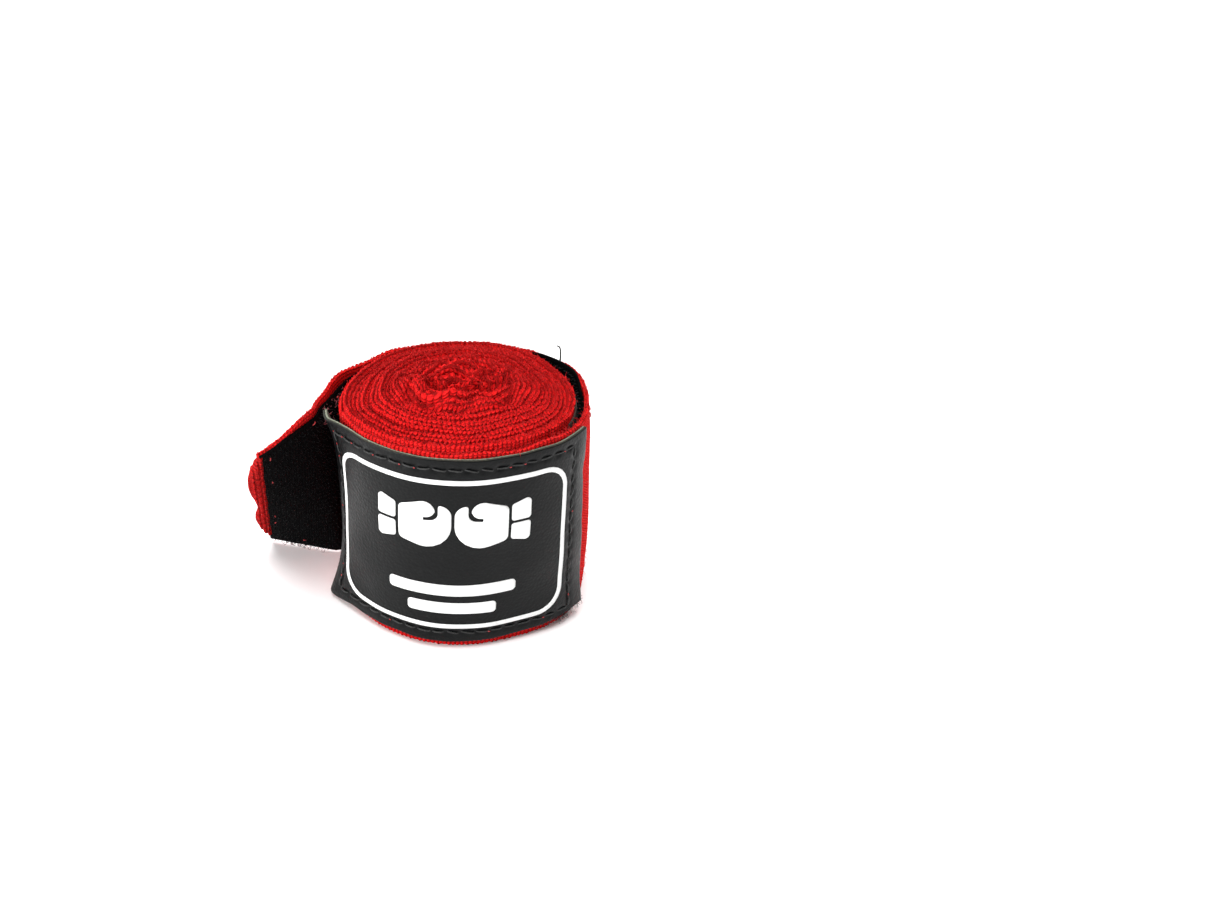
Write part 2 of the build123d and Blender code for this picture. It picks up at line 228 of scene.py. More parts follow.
def curls(name, bases, along, up, sideways, path, radius, material, jitter=0.12, sides=3):
    """Many small bent yarns in one mesh: path is (ahead, out) points of one yarn."""
    count, steps = len(bases), len(path)
    path = np.asarray(path, float)
    size = 1 + jitter * rng.normal(size=(count, 1))
    lean = rng.normal(size=(count, 2)) * jitter
    ahead = unit(along + lean[:, :1] * sideways)
    out = unit(up + lean[:, 1:] * sideways + 0.5 * lean[:, :1] * along)
    cross = unit(np.cross(ahead, out))
    centre = (
        bases[:, None, :]
        + (path[None, :, 0] * size)[..., None] * ahead[:, None, :]
        + (path[None, :, 1] * size)[..., None] * out[:, None, :]
    )
    tangent = unit(np.gradient(centre, axis=1))
    across = unit(np.cross(tangent, cross[:, None, :]))
    taper = np.linspace(1.0, 0.75, steps)[None, :, None]
    rings = []
    for side in range(sides):
        angle = 2 * np.pi * side / sides
        rings.append(
            centre
            + radius * taper * (math.cos(angle) * cross[:, None, :] + math.sin(angle) * across)
        )
    grid = np.stack(rings, 2)
    pattern = loop_faces(steps, sides)
    caps = [list(range(sides))[::-1], list(range((steps - 1) * sides, steps * sides))]
    block = steps * sides
    starts = np.arange(count) * block
    faces = (pattern[None] + starts[:, None, None]).reshape(-1, 4).tolist()
    for cap in caps:
        faces += (np.array(cap)[None] + starts[:, None]).tolist()
    return make_mesh(name, grid.reshape(-1, 3), faces, [material])


# ---- materials -------------------------------------------------------------------
class Nodes:
    """Short calls for building one node material."""

    def __init__(self, name):
        self.material = bpy.data.materials.new(name)
        self.material.use_nodes = True
        self.tree = self.material.node_tree
        self.shader = self.tree.nodes["Principled BSDF"]

    def add(self, kind, **values):
        node = self.tree.nodes.new(kind)
        for key, value in values.items():
            setattr(node, key, value)
        return node

    def link(self, output, target):
        self.tree.links.new(output, target)

    def waves(self, value, spacing):
        """Ridges that repeat every spacing millimetres."""
        phase = self.math("MULTIPLY", value, math.pi / (spacing * MM))
        return self.math("ABSOLUTE", self.math("SINE", phase))

    def math(self, operation, first, second=None):
        node = self.add("ShaderNodeMath", operation=operation)
        for slot, value in enumerate((first, second)):
            if value is None:
                continue
            if isinstance(value, (int, float)):
                node.inputs[slot].default_value = value
            else:
                self.link(value, node.inputs[slot])
        return node.outputs[0]

    def noise(self, scale, detail=3.0, roughness=0.55):
        node = self.add("ShaderNodeTexNoise")
        node.inputs["Scale"].default_value = scale
        node.inputs["Detail"].default_value = detail
        node.inputs["Roughness"].default_value = roughness
        self.link(self.object_coords(), node.inputs["Vector"])
        return node.outputs["Fac"]

    def voronoi(self, scale):
        node = self.add("ShaderNodeTexVoronoi", feature="F1")
        node.inputs["Scale"].default_value = scale
        self.link(self.object_coords(), node.inputs["Vector"])
        return node.outputs["Distance"]

    def object_coords(self):
        return self.add("ShaderNodeTexCoord").outputs["Object"]

    def ramp(self, value, stops):
        node = self.add("ShaderNodeValToRGB")
        elements = node.color_ramp.elements
        while len(elements) < len(stops):
            elements.new(0.5)
        for element, (position, colour) in zip(elements, stops):
            element.position = position
            element.color = (*colour, 1.0)
        self.link(value, node.inputs[0])
        return node.outputs[0]

    def span(self, value, low, high, to_low, to_high):
        node = self.add("ShaderNodeMapRange")
        node.clamp = True
        for name, number in (("From Min", low), ("From Max", high),
                             ("To Min", to_low), ("To Max", to_high)):
            node.inputs[name].default_value = number
        self.link(value, node.inputs["Value"])
        return node.outputs["Result"]

    def mix(self, factor, first, second):
        node = self.add("ShaderNodeMix", data_type="RGBA")
        for name, value in (("A", first), ("B", second)):
            target = [i for i in node.inputs if i.name == name and i.type == "RGBA"][0]
            if isinstance(value, tuple):
                target.default_value = (*value, 1.0)
            else:
                self.link(value, target)
        if isinstance(factor, (int, float)):
            node.inputs[0].default_value = factor
        else:
            self.link(factor, node.inputs[0])
        return [o for o in node.outputs if o.type == "RGBA"][0]

    def bump(self, height, distance, strength=1.0, below=None):
        node = self.add("ShaderNodeBump")
        node.inputs["Strength"].default_value = strength
        node.inputs["Distance"].default_value = distance
        self.link(height, node.inputs["Height"])
        if below is not None:
            self.link(below, node.inputs["Normal"])
        return node.outputs["Normal"]

    def set(self, **values):
        for key, value in values.items():
            socket = self.shader.inputs[key.replace("_", " ")]
            if isinstance(value, (int, float, tuple)):
                socket.default_value = value
            else:
                self.link(value, socket)

    def cloth_coords(self):
        """(along, across) on a piece that has the cloth map, in metres."""
        uv = self.add("ShaderNodeUVMap", uv_map="cloth").outputs[0]
        parts = self.add("ShaderNodeSeparateXYZ")
        self.link(uv, parts.inputs[0])
        return parts.outputs[0], parts.outputs[1]


def knit_height(nodes):
    """Chevron stitches in ribs that run across the strip."""
    along, across = nodes.cloth_coords()
    wobble = nodes.math("MULTIPLY", nodes.noise(260.0, 2.0), 0.00035)
    along = nodes.math("ADD", along, wobble)
    column = nodes.waves(along, RIB)
    row = nodes.math("MULTIPLY", across, math.pi / (0.72 * MM))
    row = nodes.math("ADD", row, nodes.math("MULTIPLY", column, 1.4))
    row = nodes.math("ABSOLUTE", nodes.math("SINE", row))
    return nodes.math("MULTIPLY", nodes.math("POWER", column, 0.6),
                      nodes.math("ADD", nodes.math("MULTIPLY", row, 0.6), 0.4))


def red_knit_material(name, tone=1.0):
    nodes = Nodes(name)
    fuzz = nodes.noise(2600.0, 4.0, 0.7)
    patch = nodes.noise(90.0, 3.0)
    height = nodes.math("ADD", knit_height(nodes), nodes.math("MULTIPLY", fuzz, 0.5))
    # The colour follows the knit's height: painted shade in the grooves between the loops and a
    # painted highlight on their crests, plus random tone from the fuzz noise.
    dark, middle, bright = (0.10, 0.0008, 0.0012), (0.62, 0.0055, 0.007), (0.95, 0.020, 0.018)
    # A tone below 1 darkens all three colours; the rolled hem uses this as painted shade.
    dark, middle, bright = [tuple(c * tone for c in colour) for colour in (dark, middle, bright)]
    colour = nodes.ramp(nodes.span(height, 0.25, 1.35, 0.0, 1.0),
                        [(0.0, dark), (0.5, middle), (1.0, bright)])
    worn = nodes.mix(nodes.span(patch, 0.35, 0.75, 0.0, 0.22), colour, bright)
    nodes.set(Base_Color=worn, Roughness=nodes.span(fuzz, 0.3, 0.7, 0.78, 0.98),
              Sheen_Weight=0.08, Sheen_Roughness=0.5, Sheen_Tint=(1.0, 0.12, 0.1, 1.0),
              Specular_IOR_Level=0.06)
    nodes.set(Normal=nodes.bump(height, 0.0005, 1.0))
    return nodes.material


def thread_material(name, dark, bright, roughness=0.5, gloss=0.3):
    nodes = Nodes(name)
    fibre = nodes.noise(3500.0, 3.0, 0.6)
    nodes.set(Base_Color=nodes.ramp(fibre, [(0.3, dark), (0.7, bright)]),
              Roughness=nodes.span(fibre, 0.3, 0.7, roughness, roughness + 0.25),
              Specular_IOR_Level=gloss)
    nodes.set(Normal=nodes.bump(fibre, 0.0001, 0.6))
    return nodes.material


def leather_material():
    nodes = Nodes("patch leather")
    cells = nodes.voronoi(1500.0)
    fine = nodes.noise(900.0, 4.0, 0.6)
    broad = nodes.noise(45.0, 3.0)
    grain = nodes.math("ADD", nodes.math("MULTIPLY", cells, 0.8),
                       nodes.math("MULTIPLY", fine, 0.7))
    colour = nodes.ramp(nodes.math("ADD", nodes.math("MULTIPLY", fine, 0.5),
                                   nodes.math("MULTIPLY", broad, 0.5)),
                        [(0.3, (0.0015, 0.0017, 0.0018)), (0.7, (0.0036, 0.0039, 0.0041))])
    nodes.set(Base_Color=colour, Roughness=nodes.span(grain, 0.2, 1.2, 0.27, 0.42),
              Specular_IOR_Level=0.12)
    nodes.set(Normal=nodes.bump(broad, 0.0006, 0.25, nodes.bump(grain, 0.00012, 0.55)))
    return nodes.material


def cut_edge_material(name, tone):
    nodes = Nodes(name)
    fibre = nodes.noise(2200.0, 4.0, 0.65)
    stops = [(0.3, (0.055, 0.062, 0.045)), (0.55, (0.115, 0.125, 0.092)),
             (0.8, (0.21, 0.22, 0.165))]
    colour = nodes.ramp(fibre, [(place, tuple(c * tone for c in shade)) for place, shade in stops])
    nodes.set(Base_Color=colour, Roughness=0.8, Specular_IOR_Level=0.25)
    nodes.set(Normal=nodes.bump(fibre, 0.00015, 0.7))
    return nodes.material


def backing_material():
    nodes = Nodes("patch backing")
    fibre = nodes.noise(2400.0, 4.0, 0.65)
    colour = nodes.ramp(fibre, [(0.3, (0.04, 0.045, 0.035)), (0.7, (0.12, 0.13, 0.10))])
    nodes.set(Base_Color=colour, Roughness=0.9, Specular_IOR_Level=0.2)
    nodes.set(Normal=nodes.bump(fibre, 0.0002, 0.7))
    return nodes.material


def print_material():
    nodes = Nodes("white print")
    mottle = nodes.noise(700.0, 5.0, 0.7)
    cells = nodes.voronoi(1500.0)
    colour = nodes.ramp(mottle, [(0.25, (0.70, 0.70, 0.69)), (0.45, (0.86, 0.86, 0.85)),
                                 (0.7, (0.92, 0.92, 0.91))])
    nodes.set(Base_Color=colour, Roughness=nodes.span(mottle, 0.3, 0.7, 0.42, 0.6),
              Specular_IOR_Level=0.35)
    nodes.set(Normal=nodes.bump(cells, 0.0001, 0.35))
    return nodes.material


def tape_material(name, dark, bright):
    """The woven base of hook or loop tape."""
    nodes = Nodes(name)
    along, across = nodes.cloth_coords()
    warp = nodes.waves(across, 0.7)
    weft = nodes.waves(along, 0.5)
    fibre = nodes.noise(2800.0, 3.0, 0.6)
    height = nodes.math("ADD", nodes.math("MULTIPLY", nodes.math("MULTIPLY", warp, weft), 0.8),
                        nodes.math("MULTIPLY", fibre, 0.5))
    nodes.set(Base_Color=nodes.ramp(height, [(0.2, dark), (0.9, bright)]),
              Roughness=0.85, Specular_IOR_Level=0.05)
    nodes.set(Normal=nodes.bump(height, 0.00025, 0.8))
    return nodes.material


def floor_material():
    nodes = Nodes("floor")
    broad = nodes.noise(6.0, 2.0)
    nodes.set(Base_Color=nodes.ramp(broad, [(0.3, (0.94, 0.94, 0.94)), (0.7, (0.97, 0.97, 0.97))]),
              Roughness=0.6, Specular_IOR_Level=0.2)
    return nodes.material


RED = red_knit_material("red knit")
# The rolled hem gets a darker copy of the same red knit: painted shade over its face.
RED_HEM_PAINTED_SHADE = red_knit_material("red knit, rolled hem, painted shade", 0.56)
RED_FUZZ = thread_material("red fuzz", (0.42, 0.004, 0.006), (0.80, 0.03, 0.03), 0.7)
LINT = thread_material("red lint", (0.25, 0.05, 0.06), (0.60, 0.22, 0.24), 0.7)
RED_THREAD = thread_material("red thread", (0.30, 0.012, 0.014), (0.55, 0.06, 0.06))
BLACK_THREAD = thread_material("black thread", (0.006, 0.006, 0.006), (0.035, 0.036, 0.035), 0.35)
HOOKS = thread_material("hook yarn", (0.0006, 0.0006, 0.0008), (0.0025, 0.0025, 0.003), 0.2, 0.16)
PILE = thread_material("loop pile", (0.002, 0.002, 0.0022), (0.008, 0.008, 0.0085), 0.6)
HOOK_TAPE = tape_material("hook tape", (0.0004, 0.0004, 0.0005), (0.0018, 0.0018, 0.0021))
LOOP_TAPE = tape_material("loop tape", (0.012, 0.009, 0.008), (0.10, 0.075, 0.065))
LEATHER = leather_material()
CUT_EDGE = cut_edge_material("cut edge", 1.7)
LEATHER_EDGE = cut_edge_material("leather edge", 0.22)
BACKING = backing_material()
PRINT = print_material()


# ---- camera and light --------------------------------------------------------------
WALL_LIGHT = 0.56
DARK_WALL_LIGHT = 0.12       # the wall to the right
OVERHEAD_LIGHT = 4.5
OVERHEAD_ANGLE = 55
FLOOR_REACH = 3.0            # metres from the roll to each side


def make_camera():
    data = bpy.data.cameras.new("camera")
    camera = bpy.data.objects.new("camera", data)
    bpy.context.scene.collection.objects.link(camera)
    camera.location = Vector((0.0, -0.19777, 0.15594))
    forward = Vector((-0.0260, 0.8501, -0.5259))
    camera.rotation_euler = forward.to_track_quat("-Z", "Y").to_euler()
    data.lens = 29.654
    data.sensor_width = 36.0
    data.shift_x = 0.145
    data.clip_start = 0.005
    data.dof.use_dof = False
    bpy.context.scene.camera = camera


def area_light(name, place, target, size, watts):
    data = bpy.data.lights.new(name, "AREA")
    data.shape = "DISK"
    data.size = size
    data.energy = watts
    lamp = bpy.data.objects.new(name, data)
    bpy.context.scene.collection.objects.link(lamp)
    lamp.location = place
    aim = Vector(target) - Vector(place)
    lamp.rotation_euler = aim.to_track_quat("-Z", "Y").to_euler()


def make_studio():
    """A white room with one wide soft light overhead and a softbox to the left."""
    world = bpy.data.worlds.new("studio")
    world.use_nodes = True
    tree = world.node_tree
    walls = tree.nodes["Background"]
    walls.inputs[0].default_value = (1.0, 1.0, 1.0, 1.0)
    heading = tree.nodes.new("ShaderNodeTexCoord")
    parts = tree.nodes.new("ShaderNodeSeparateXYZ")
    tree.links.new(heading.outputs["Generated"], parts.inputs[0])
    shade = tree.nodes.new("ShaderNodeMapRange")
    for name, number in (("From Min", 0.15), ("From Max", 0.85), ("To Min", WALL_LIGHT),
                         ("To Max", DARK_WALL_LIGHT)):
        shade.inputs[name].default_value = number
    tree.links.new(parts.outputs["X"], shade.inputs["Value"])
    tree.links.new(shade.outputs["Result"], walls.inputs[1])
    seen = tree.nodes.new("ShaderNodeBackground")
    seen.inputs[1].default_value = 1.0
    path = tree.nodes.new("ShaderNodeLightPath")
    choice = tree.nodes.new("ShaderNodeMixShader")
    tree.links.new(path.outputs["Is Camera Ray"], choice.inputs[0])
    tree.links.new(walls.outputs[0], choice.inputs[1])
    tree.links.new(seen.outputs[0], choice.inputs[2])
    tree.links.new(choice.outputs[0], tree.nodes["World Output"].inputs[0])
    bpy.context.scene.world = world
    overhead = bpy.data.lights.new("overhead", "SUN")
    overhead.energy = OVERHEAD_LIGHT
    overhead.angle = math.radians(OVERHEAD_ANGLE)
    lamp = bpy.data.objects.new("overhead", overhead)
    bpy.context.scene.collection.objects.link(lamp)
    lamp.rotation_euler = Vector((0.02, -0.14, -1.0)).to_track_quat("-Z", "Y").to_euler()
    area_light("left_softbox", (-0.55, -0.30, 0.22), (0.0, 0.0, 0.03), 0.35, 3.6)
    bpy.context.scene.view_settings.view_transform = "Standard"
    mesh = bpy.data.meshes.new("floor")
    corners = [(x * FLOOR_REACH, y * FLOOR_REACH, 0)
               for x, y in ((-1, -1), (1, -1), (1, 1), (-1, 1))]
    mesh.from_pydata(corners, [], [(0, 1, 2, 3)])
    floor = bpy.data.objects.new("floor", mesh)
    mesh.materials.append(floor_material())
    bpy.context.scene.collection.objects.link(floor)


# ---- the wound part of the strip ------------------------------------------------------
def wound_radius(wound):
    """Middle of the strip after that many degrees of winding."""
    lift = LIFT * ramp(wound - LAST, LIFT_START, LIFT_END)
    return FIRST_RADIUS + wound / 360.0 + lift


RIM_ANGLES = [0, 30, 60, 75, 95, 150, 180, 210, 240, 270, 300, 330, 360]
RIM_HEIGHTS = [0.3, 0.2, 0.7, 0.6, 0.15, 0.1, 0.2, 0.4, 0.6, 0.9, 1.25, 0.75, 0.3]
DOME = 3.6                   # how far the middle of the coil stands above its edge
UNEVEN_STEP = 170.0          # degrees between the heights drawn in UNEVEN
UNEVEN = 0.5 * np.random.default_rng(5).normal(size=80)
ROLL_START = -1130.0         # degrees: the crumpled end inside the core
ROLL_END = 204.0             # the coil's piece ends here, under the patch
CORE_FOOT = 36.0             # the innermost turns reach down to this height only


def edge_height(wound, radius):
    """How far each turn stands above the roll's nominal top."""
    plateau = np.interp(np.mod(wound, 360), RIM_ANGLES, RIM_HEIGHTS)
    inside = ramp(26.75 - radius, 0.0, 0.55)
    dome = plateau * inside + (DOME - plateau) * (1 - np.clip(radius / 26, 0, 1) ** 2)
    place = wound / UNEVEN_STEP + 12
    low = np.floor(place).astype(int)
    share = ramp(place - low, 0, 1)
    uneven = UNEVEN[low] * (1 - share) + UNEVEN[low + 1] * share
    return dome + uneven * inside


CRUMPLE_X = make_noise(21, 12.0)
CRUMPLE_Y = make_noise(22, 12.0)
WAVER_X = make_noise(23, 16.0)
WAVER_Y = make_noise(24, 16.0)
MOUNDS = make_noise(25, 6.0)
SLACK_ANGLES = [0, 5, 16, 30, 46, 58, 110, 130, 155, 169, 180, 190, 198, 203, 333, 345, 354, 360]
SLACK = [0.8, 0.9, 1.1, 1.1, 0.45, 0, 0.1, 0.8, 1.7, 1.5, 1.1, 0.6, 0.15, 0, 0, 0.4, 0.65, 0.8]


def slack_at(degrees, height):
    """How far the coil's upper end is drawn in from a true spiral."""
    return np.interp(np.mod(degrees, 360), SLACK_ANGLES, SLACK) * ramp(height, 12.0, 48.0)


def crumple(points):
    """Presses and folds the core, most of all at its upper end."""
    x, y, z = points[..., 0], points[..., 1], points[..., 2]
    radius = np.hypot(x, y)
    drawn = slack_at(np.degrees(np.arctan2(y, x)), z) * np.clip((radius - 9.0) / 17.0, 0, 1.03)
    shrink = 1 - drawn / np.maximum(radius, 1.0)
    x, y = x * shrink, y * shrink
    radius = np.hypot(x, y)
    upper = ramp(z, CORE_FOOT, 47.0)
    core = np.exp(-((radius / 13.0) ** 4)) * upper
    flat = np.exp(-((radius / 9.5) ** 2)) * upper
    rim = (1 - ramp(radius, 20.0, 26.0)) * upper
    mx = x * (1 + 0.35 * flat) + 1.5 * core * CRUMPLE_X(x, y) + 0.3 * rim * WAVER_X(x, y)
    my = y * (1 - 0.36 * flat) + 1.4 * core * CRUMPLE_Y(x, y) + 0.3 * rim * WAVER_Y(x, y)
    hole = bell(mx, -1.4, 1.9) * bell(my, -1.6, 1.2)
    crease = bell(my, -3.8 - 0.15 * mx, 0.9) * ramp(mx, -3.5, -1.0) * (1 - ramp(mx, 5.5, 9.0))
    pocket = bell(mx, -4.5, 3.8) * bell(my, -4.6 + 0.1 * mx, 1.1)
    tuck = bell(np.hypot(mx - 0.6, my * 1.15 + 3.4), 11.6, 0.9) * (0.5 + 0.5 * bell(my, -5, 6))
    mound = bell(mx, 1.5, 6.0) * bell(my, 3.6, 3.0)
    petal = bell(mx, -0.6, 8.5) * bell(my, -9.2 + 0.03 * mx ** 2, 2.8)
    lift = (1.6 * mound + 1.3 * petal - 7.0 * hole - 2.8 * crease - 2.8 * pocket - 1.6 * tuck
            + 0.75 * core * MOUNDS(x, y))
    return np.stack([mx, my, z + lift * upper], -1)


def make_strip_roll():
    """The strip from its crumpled end in the core to under the patch."""
    fine = np.linspace(ROLL_START, LAST + ROLL_END, 60000)
    run = np.concatenate([[0], np.cumsum(np.radians(np.diff(fine)) * wound_radius(fine[:-1]))])
    lengths = np.linspace(0, run[-1], int(run[-1] / 0.36))
    wound = np.interp(lengths, run, fine)
    radius = wound_radius(wound)
    top = STRIP_WIDTH + edge_height(wound, radius)
    bottom = top - STRIP_WIDTH
    bottom = bottom + (CORE_FOOT - bottom) * (1 - ramp(wound, -30.0, 20.0))
    half = STRIP_HALF
    bends = np.radians([0, 45, 90, 135, 180])
    shape = [(half, -49.4), (half, -25.0), (half, -4.0), (half, -1.7)]
    shape += [(half * math.cos(b), half * (math.sin(b) - 1)) for b in bends]
    shape += [(-half, -1.7), (-half, -4.0), (-half, -25.0), (-half, -49.4)]
    shape += [(-0.3, -49.9), (0.0, -50.0), (0.3, -49.9)]
    offsets = np.array([o for o, _ in shape])
    drops = np.array([d for _, d in shape])
    arc = drops > -1.0
    turn = np.where(arc, np.arccos(np.clip(offsets / half, -1, 1)), 0)
    share = 1 + drops / STRIP_WIDTH
    twist = rope_twist(lengths[:, None], 1.6 * turn[None, :]) * arc[None, :]
    twist = twist + 0.25 * rng.normal(size=(len(lengths), 1)) * arc[None, :]
    height = bottom[:, None] + (top - bottom)[:, None] * share[None, :]
    close = drops > -5
    height[:, close] = top[:, None] + drops[None, close]
    height = height + 0.34 * twist
    spread = offsets[None, :] * (1 + 0.3 * twist)
    grid = crumple(polar(radius[:, None] + spread, wound[:, None], height))
    around = np.cumsum(np.concatenate([[0], np.hypot(np.diff(offsets), np.diff(drops))]))
    run_grid, around_grid = np.broadcast_arrays(lengths[:, None], around[None, :])
    uv = turned_uv(run_grid, around_grid, offsets / half) * MM
    piece = tube_piece("strip_roll", grid, uv, [RED])
    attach(piece, "roll")
    return piece, run[-1], grid


# ---- the outer strip: last turn, band and tab --------------------------------------------
OUTER_ANGLES = np.linspace(150.0, TAB_ANGLE, 1500)
OUTER_RUN = np.concatenate(
    [[0], np.cumsum(np.radians(np.diff(OUTER_ANGLES)) * wound_radius(LAST + OUTER_ANGLES[:-1]))]
)
OUTER_RUN -= OUTER_RUN[-1]
HINGE_FOOT = polar(wound_radius(LAST + TAB_ANGLE), TAB_ANGLE, 0.0)


def run_at(angle):
    """Distance along the strip from the tab's hinge line; negative before it."""
    return float(np.interp(angle, OUTER_ANGLES, OUTER_RUN))


def side_flare(height):
    """How far the band leans out at the roll's right-hand side."""
    levels = [-5, 0, 5, 12, 22, 31, 44, 50, 55]
    outward = [1.3, 1.4, 1.7, 1.7, 1.05, 0.4, -0.35, -0.85, -1.1]
    return np.interp(height, levels, outward)


SNUG_ANGLES = [345, 356, 372, 382, 390, 397, 405, 415, 425, 442, 456, 507, 520, 528]
SNUG = [0, -0.1, 0.5, 1.5, 1.25, 0.9, 0.2, -0.5, -0.3, -0.4, -1.0, -1.25, -0.7, 0]


def outer_raw(u, h):
    """Middle surface of the outer strip before its bend is rounded."""
    angle = np.interp(u, OUTER_RUN, OUTER_ANGLES)
    flare = ramp(angle, 290, 358) * (1 - ramp(angle, 365, 425)) * side_flare(h)
    leave = ramp(angle, 498, TAB_ANGLE)
    share = h / STRIP_WIDTH
    flare = flare + np.interp(angle, SNUG_ANGLES, SNUG) * (0.4 + 0.6 * share)
    flare = flare + 0.45 * bell(angle, 362, 12) * ramp(h, 8, 20) * (1 - ramp(h, 40, 50))
    shear = 5.2 * share * leave
    radius = wound_radius(LAST + angle) + flare + 0.3 * share * leave
    height = h - 0.25 * share * leave + TAB_LIFT * ramp(u, -14.0, 0.0)
    band = polar(radius, angle + np.degrees(shear / 30.0), height)
    along = np.maximum(u, 0.0)
    lean = np.radians(6.0 + 1.62 * along - 0.02 * along ** 2 + 1.2 * ramp(along, 11.0, 21.0))
    heading = np.radians(-100.0 + 22.5 * ramp(along, 0.0, 6.0))
    direction = math.radians(TAB_HEADING)
    along = along * (1 - 0.065 * (1 - share))
    foot = np.stack(
        np.broadcast_arrays(
            HINGE_FOOT[0] + math.cos(direction) * along,
            HINGE_FOOT[1] + math.sin(direction) * along,
            TAB_RISE * along / TAB_LENGTH + TAB_LIFT,
        ),
        -1,
    )
    up = np.stack(
        np.broadcast_arrays(
            np.sin(lean) * np.cos(heading), np.sin(lean) * np.sin(heading), np.cos(lean)
        ),
        -1,
    )
    tab = foot + up * h[..., None]
    return np.where((u > 0)[..., None], tab, band)


def outer_points(u, h):
    """The same with the bend at the tab's root rounded."""
    total, weights = 0.0, 0.0
    for shift in np.linspace(-3.0, 3.0, 9):
        weight = math.exp(-((shift / 1.6) ** 2))
        total = total + weight * outer_raw(u + shift, h)
        weights += weight
    return total / weights


def outer_surface(u, h):
    points = outer_points(u, h)
    ahead = outer_points(u + 0.15, h) - outer_points(u - 0.15, h)
    up = outer_points(u, h + 0.15) - outer_points(u, h - 0.15)
    return points, unit(np.cross(ahead, up))


TOP_WAVE = make_noise(31, 14.0, dims=1)
SEAM_ANGLE = 440.0           # where the outer strip is joined behind the roll
HOOK_TAPE_START = 318.0
STRIP_END = 20.5             # the hem starts here


def tab_blend(piece):
    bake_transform(piece)


def strip_top(u):
    worn = 0.15 * TOP_WAVE(u)
    tucked = 0.5 * ramp(u, -88.0, -74.0) + 0.4 * ramp(u, -60.0, -46.0)
    proud = 0.7 * (1 - ramp(u, -104.0, -94.0))
    hangs = tucked * (1 - ramp(u, -12.0, -2.0)) + 1.8 * ramp(u, -8.0, 4.0) + 2.1 * ramp(u, 6.0, 20.0)
    return STRIP_WIDTH + worn + proud - hangs


EDGE_SHARES = np.concatenate([np.linspace(0, 0.1, 15), np.linspace(0.13, 0.87, 20),
                              np.linspace(0.9, 1, 15)])


def make_outer_strip():
    pieces = []
    spans = (("strip_band", run_at(ROLL_END), run_at(SEAM_ANGLE)),
             ("strip_tab", run_at(SEAM_ANGLE), STRIP_END))
    for name, start, end in spans:
        stations = np.linspace(start, end, int((end - start) / 0.24))
        piece = ribbon(name, outer_surface, stations, 0.0, strip_top(stations), 0.0,
                       STRIP_HALF, len(EDGE_SHARES), [RED], rope=0.2, rib=0.1,
                       shares=EDGE_SHARES)
        pieces.append(piece)
    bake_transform(pieces[0])
    tab_blend(pieces[1])
    return pieces


def tape_bottom(u):
    askew = 2.6 * ramp(u, -88.0, -74.0) * (1 - ramp(u, -64.0, -48.0))
    return TAPE_BOTTOM - 1.2 * ramp(u, -12.0, 2.0) + askew


HOOK_GAP, LANE_GAP = 0.95, 1.25
HOOK_BASE = 0.24             # half the thickness of the tape's woven base
HOOK_CENTRE = -(STRIP_HALF + HOOK_BASE + 0.07)
HOOK_PATH = ((0, -0.1), (0, 0.28), (0.03, 0.5), (0.17, 0.66), (0.34, 0.6), (0.4, 0.42))


def scatter_hooks(name, start, end):
    """Rows of hooks on the inner face of the hook tape."""
    rows = np.arange(start + 0.6, end - 0.4, HOOK_GAP)
    lanes = np.arange(0.9, TAPE_WIDTH - 0.8, LANE_GAP)
    u, lane = np.meshgrid(rows, lanes, indexing="ij")
    u = (u + 0.12 * rng.normal(size=u.shape) + 0.47 * (np.arange(len(lanes)) % 2)[None, :]).ravel()
    lane = (lane + 0.1 * rng.normal(size=lane.shape)).ravel()
    h = tape_bottom(u) + lane
    points, normals = outer_surface(u, h)
    ahead = unit(outer_points(u + 0.2, h) - outer_points(u - 0.2, h))
    up = unit(outer_points(u, h + 0.2) - outer_points(u, h - 0.2))
    base = points + normals * (HOOK_CENTRE - HOOK_BASE)
    flip = np.where(rng.random(len(u)) < 0.5, -1.0, 1.0)[:, None]
    return curls(name, base, ahead * flip, -normals, up, HOOK_PATH, 0.085, HOOKS)


def make_hook_tape():
    spans = (("hook_tape_band", run_at(HOOK_TAPE_START), run_at(SEAM_ANGLE),
              ("hook_tape_root", "band_hook_tape")),
             ("hook_tape_tab", run_at(SEAM_ANGLE), TAB_TAPE_END, ("tab_hook_tape",)))
    made = []
    for name, start, end, nodes in spans:
        stations = np.linspace(start, end, int((end - start) / 0.5))
        bottom = tape_bottom(stations)
        tape = ribbon(name, outer_surface, stations, bottom, bottom + TAPE_WIDTH, HOOK_CENTRE,
                      HOOK_BASE, 30, [HOOK_TAPE], arc_steps=3)
        hooks = scatter_hooks(name + "_hooks", start, end)
        for piece in (tape, hooks):
            if name == "hook_tape_band":
                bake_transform(piece)
            else:
                tab_blend(piece)
        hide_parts(*nodes)
        made.append((tape, hooks, end - start))
    return made


HEM_BOTTOM, HEM_HEIGHT = 3.9, 41.9
HEM_ROW, HEM_LOOP = 1.25, 1.35  # spacing of its knit, across and along


